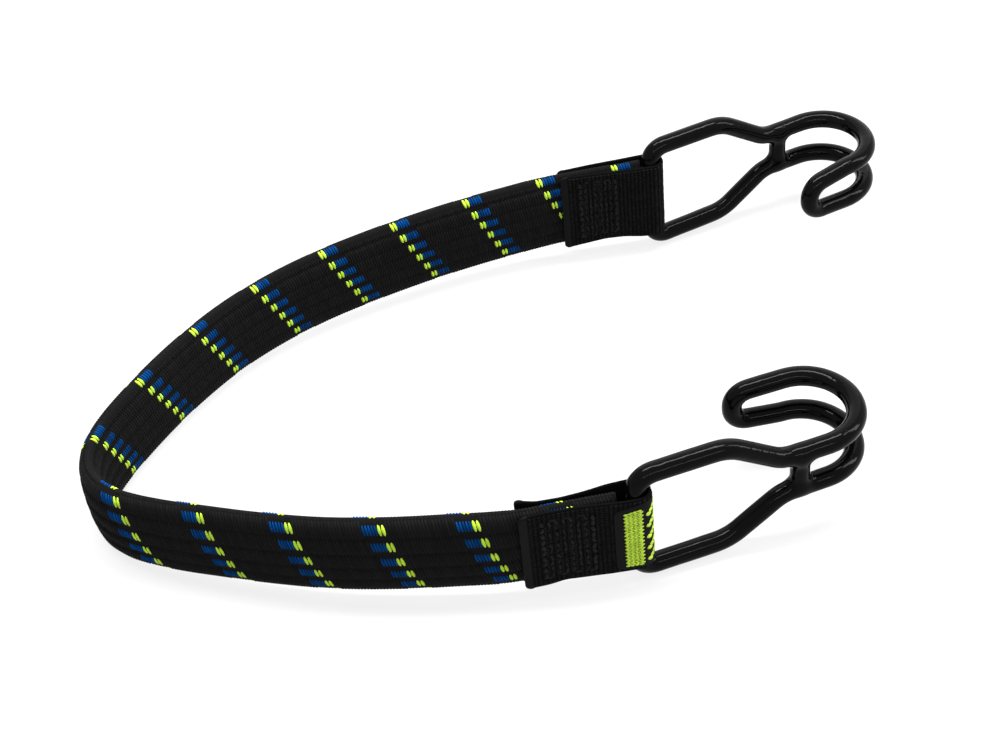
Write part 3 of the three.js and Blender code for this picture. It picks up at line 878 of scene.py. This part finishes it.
# Hooks: one loop of wire with a welded cross-bar, dipped. X runs away from the strap, Z along the bar
hook = {
    "halfHeight": 16.0, "arm": 23.7, "neck": 38.1, "neckGap": 6.1, "curlStart": 50.4, "curlRadius": 12.8,
    "tip": 37.2, "tipOffset": 27.0, "tipGap": 4.9, "tipRound": 0.95,
    "barCorner": 4.6, "shoulderBend": 12.0, "neckBend": 9.0, "cornerSteps": 16, "curlSteps": 60,
    "crossBar": 43.0, "wireRadius": 2.6, "crossBarRadius": 2.5, "crossBarHalf": 4.2,  # outside the dip
    "lineStep": 0.25, "lineWindow": 13, "barSteps": 9, "bevelSteps": 4, "voxel": 0.45,
    "fillet": 2.2, "waviness": 0.05, "waveLength": 7.0,
    "rounds": 5, "smoothRounds": 3, "smoothing": 0.5, "leastPull": 0.2,
    "barShift": 0.45, "barShiftLength": 8.0,  # the bar lies towards the strap in its fold
    # bent up a little in use: (x where it starts, x where it is full, millimetres)
    "upperLift": {"rear": (44, 60, 0.3), "front": (44, 60, 0.0)},
    "lowerLift": {"rear": (4, 14, 0.5), "front": (36, 46, 0.5)}, "liftBlend": 6,
    "turn": {"rear": 15.2, "front": 10.0}, "curlSide": {"rear": -1, "front": 1},
}


def roundedLine(corners):  # straight runs with an arc of the given radius at each inner corner
    places = [np.array(place, float) for place, _ in corners]
    points = [places[0]]
    for before, at, after, (_, radius) in zip(places, places[1:], places[2:], corners[1:]):
        back, on = ((p - at) / np.linalg.norm(p - at) for p in (before, after))
        bend = math.pi - math.acos(back @ on)
        reach = radius * math.tan(bend / 2)
        centre = at + (back + on) / np.linalg.norm(back + on) * radius / math.cos(bend / 2)
        first, last = at + back * reach - centre, at + on * reach - centre
        for t in np.linspace(0, bend, hook["cornerSteps"]):
            points.append(centre + (first * math.sin(bend - t) + last * math.sin(t)) / math.sin(bend))
    return points + [places[-1]]


def wireLine(end):
    side = hook["curlSide"][end]

    def at(x, y, z):
        return (x, side * y, z)

    gap, start, radius = hook["neckGap"], hook["curlStart"], hook["curlRadius"]
    upper = roundedLine([
        (at(0, 0, 0), 0), (at(0, 0, hook["halfHeight"]), hook["barCorner"]),
        (at(hook["arm"], 0, hook["halfHeight"]), hook["shoulderBend"]),
        (at(hook["neck"], 0, gap), hook["neckBend"]), (at(start, 0, gap), 0),
    ])
    turns = np.linspace(0, math.pi, hook["curlSteps"])[1:-1]
    upper += [at(start + radius * math.sin(t), radius * (1 - math.cos(t)), gap) for t in turns]
    upper += roundedLine([
        (at(start, 2 * radius, gap), 0),
        (at(hook["tip"], hook["tipOffset"], hook["tipGap"]), hook["tipRound"] * hook["tipGap"]),
        (at(hook["tip"], hook["tipOffset"], 0), 0),
    ])
    upper = np.array(upper, float)
    loop = np.concatenate([upper, upper[::-1][1:] * (1, 1, -1)])
    lifts = []
    for start, full, lift in (hook["lowerLift"][end], hook["upperLift"][end]):
        lifts.append(lift * np.clip((loop[:, 0] - start) / (full - start), 0, 1))
    loop[:, 0] -= hook["barShift"] * np.clip(1 - loop[:, 0] / hook["barShiftLength"], 0, 1)
    share = np.clip(loop[:, 2] / hook["liftBlend"] + 0.5, 0, 1)
    loop[:, 2] += (1 - share) * lifts[0] + share * lifts[1]
    reach = arcOf(loop)
    fine = np.linspace(0, reach[-1], int(reach[-1] / hook["lineStep"]), endpoint=False)
    line = [np.interp(fine, reach, v) for v in loop.T]
    half, window = hook["lineWindow"] // 2, softWindow(hook["lineWindow"])
    closed = [np.concatenate([v[-half:], v, v[:half]]) for v in line]
    return np.column_stack([np.convolve(v, window, "valid") for v in closed])


def sweptWire(name, line):
    curve = bpy.data.curves.new(name, "CURVE")
    curve.dimensions, curve.use_fill_caps = "3D", True
    curve.bevel_depth, curve.bevel_resolution = hook["wireRadius"], hook["bevelSteps"]
    heights = np.linspace(-hook["neckGap"], hook["neckGap"], hook["barSteps"])
    bar = np.array([(hook["crossBar"], 0, z) for z in heights])
    barScale = hook["crossBarRadius"] / hook["wireRadius"]
    for points, cyclic, scale in ((line, True, 1.0), (bar, False, barScale)):
        spline = curve.splines.new("POLY")
        spline.points.add(len(points) - 1)
        spline.points.foreach_set("co", np.column_stack([points, np.ones(len(points))]).ravel())
        spline.points.foreach_set("radius", np.full(len(points), scale))
        spline.use_cyclic_u = cyclic
    swept = addObject(name + "_swept", plainMesh(addObject(name + "_sweep", curve)))
    joined = swept.modifiers.new("joined", "REMESH")
    joined.mode, joined.voxel_size = "VOXEL", hook["voxel"]
    return plainMesh(swept)


def dippedHook(end):
    line = wireLine(end)
    data = sweptWire(end + "_hook", line)
    wire = kdtree.KDTree(len(line))
    for i, point in enumerate(line):
        wire.insert(point, i)
    wire.balance()
    dip = bmesh.new()
    dip.from_mesh(data)
    barMiddle = np.array((hook["crossBar"], 0.0, 0.0))
    for again in range(hook["rounds"]):  # the skin is evened out, then drawn back onto the dip's surface
        if again < hook["smoothRounds"]:
            bmesh.ops.smooth_vert(dip, verts=dip.verts, factor=hook["smoothing"],
                                  use_axis_x=True, use_axis_y=True, use_axis_z=True)
        points = np.array([v.co for v in dip.verts])
        toWire = points - np.array([wire.find(p)[0] for p in points])
        toBar = points - barMiddle
        toBar[:, 2] -= np.clip(toBar[:, 2], -hook["crossBarHalf"], hook["crossBarHalf"])
        apart = [np.linalg.norm(v, axis=1) for v in (toWire, toBar)]
        wavy = np.array([noise.noise(Vector(p) / hook["waveLength"]) for p in points]) * hook["waviness"]
        fromWire, fromBar = apart[0] - hook["wireRadius"] - wavy, apart[1] - hook["crossBarRadius"] - wavy
        share = np.clip(0.5 + 0.5 * (fromBar - fromWire) / hook["fillet"], 0, 1)
        off = share * fromWire + (1 - share) * fromBar - hook["fillet"] * share * (1 - share)
        away = share[:, None] * toWire / apart[0][:, None] + (1 - share)[:, None] * toBar / apart[1][:, None]
        away /= np.clip((away**2).sum(axis=1), hook["leastPull"], None)[:, None]
        for vertex, point in zip(dip.verts, points - off[:, None] * away):
            vertex.co = point
    ahead = math.atan2(ends[end]["away"][1], ends[end]["away"][0]) + math.radians(hook["turn"][end])
    along, across = math.cos(ahead), math.sin(ahead)
    turned = np.array(((along, -across, 0), (across, along, 0), (0, 0, 1)))
    points = np.array([v.co for v in dip.verts]) @ turned.T + np.append(ends[end]["bar"], 0.0)
    faces = [[v.index for v in face.verts] for face in dip.faces]
    dip.free()
    return meshPiece(f"{end}_hook_dip", toPart(points), faces, finishes["vinyl"])


for end in ends:
    piece = dippedHook(end)
    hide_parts(f"{end}_hook_coating")
    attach(piece, f"{end}_hook")
    for part in ("wire", "cross_bar"):  # the steel inside keeps its solids
        frame["nodes"][f"{end}_hook_{part}"].data.materials[0] = finishes["steel"]
    print(end, "hook dipped:", len(piece.data.polygons), "faces")

# Floor and light
stage = {
    "floorSize": 6.0, "drop": 0.0002, "shadowShare": 0.2, "fade": (0.3, 0.8), "paper": 0.86,
    "bounce": 0.3, "sky": 0.22,  # floor and sky light the object less than they show
}


def seenRays(tree):  # 1 for the rays that show the background itself: seen, mirrored or through glass
    ray = addNode(tree, "ShaderNodeLightPath")
    either = addNode(tree, "ShaderNodeMath", {
        0: ray.outputs["Is Camera Ray"], 1: ray.outputs["Is Glossy Ray"],
    }, operation="ADD", use_clamp=True)
    shown = addNode(tree, "ShaderNodeMath", {
        0: either.outputs["Value"], 1: ray.outputs["Is Transmission Ray"],
    }, operation="ADD", use_clamp=True)
    return ray, shown.outputs["Value"]


def makeStage():
    half, drop = stage["floorSize"] / 2, stage["drop"]
    material, tree, _ = startMaterial("pale floor", {})
    tree.nodes.clear()
    ray, seen = seenRays(tree)
    shade = addNode(tree, "ShaderNodeMapRange", {
        "Value": ray.outputs["Is Diffuse Ray"], "To Min": stage["paper"], "To Max": stage["bounce"],
    })
    paper = addNode(tree, "ShaderNodeBsdfDiffuse", {"Color": shade.outputs["Result"]})
    white = addNode(tree, "ShaderNodeEmission", {"Color": (1.0, 1.0, 1.0, 1.0), "Strength": 1.0})
    # the paper and its shadows fade into plain white away from the object
    place = addNode(tree, "ShaderNodeTexCoord")
    off = addNode(tree, "ShaderNodeVectorMath", {0: place.outputs["Object"]}, operation="LENGTH")
    plain = addNode(tree, "ShaderNodeMapRange", {
        "Value": off.outputs["Value"], "From Min": stage["fade"][0], "From Max": stage["fade"][1],
        "To Min": 1 - stage["shadowShare"], "To Max": 1.0,
    }, interpolation_type="SMOOTHSTEP")
    share = addNode(tree, "ShaderNodeMath", {0: seen, 1: plain.outputs["Result"]}, operation="MULTIPLY")
    mixed = addNode(tree, "ShaderNodeMixShader", {
        0: share.outputs["Value"], 1: paper.outputs["BSDF"], 2: white.outputs["Emission"],
    })
    addNode(tree, "ShaderNodeOutputMaterial", {"Surface": mixed.outputs["Shader"]})
    points = [(-half, -half, -drop), (half, -half, -drop), (half, half, -drop), (-half, half, -drop)]
    meshPiece("floor", points, [(0, 1, 2, 3)], material)


lamps = {
    "key": {"at": (0.2, -0.95, 0.72), "size": (1.2, 0.04), "power": 3.8},
    "fill": {"at": (0.75, -0.04, 0.5), "size": (0.16, 0.6), "power": 4.0},
    "back": {"at": (0.1, 0.95, 0.6), "size": (1.6, 1.2), "power": 7.0},
    "top": {"at": (0.0, 0.15, 1.15), "size": (1.3, 0.22), "power": 27.0},  # draws thin lines on the hooks
}


def makeLamps():
    for name, lamp in lamps.items():
        light = bpy.data.lights.new(name, "AREA")
        light.shape, light.energy = "RECTANGLE", lamp["power"]
        light.size, light.size_y = lamp["size"]
        holder = addObject(name, light)
        holder.location = lamp["at"]
        holder.rotation_euler = (-Vector(lamp["at"])).to_track_quat("-Z", "Y").to_euler()
    world = bpy.data.worlds.new("studio")
    world.use_nodes = True
    tree = world.node_tree
    level = addNode(tree, "ShaderNodeMapRange", {
        "Value": seenRays(tree)[1], "To Min": stage["sky"], "To Max": 1.0,
    })
    setInputs(tree, tree.nodes["Background"], {
        "Color": (1.0, 1.0, 1.0, 1.0), "Strength": level.outputs["Result"],
    })
    scene.world = world


makeStage()
makeLamps()
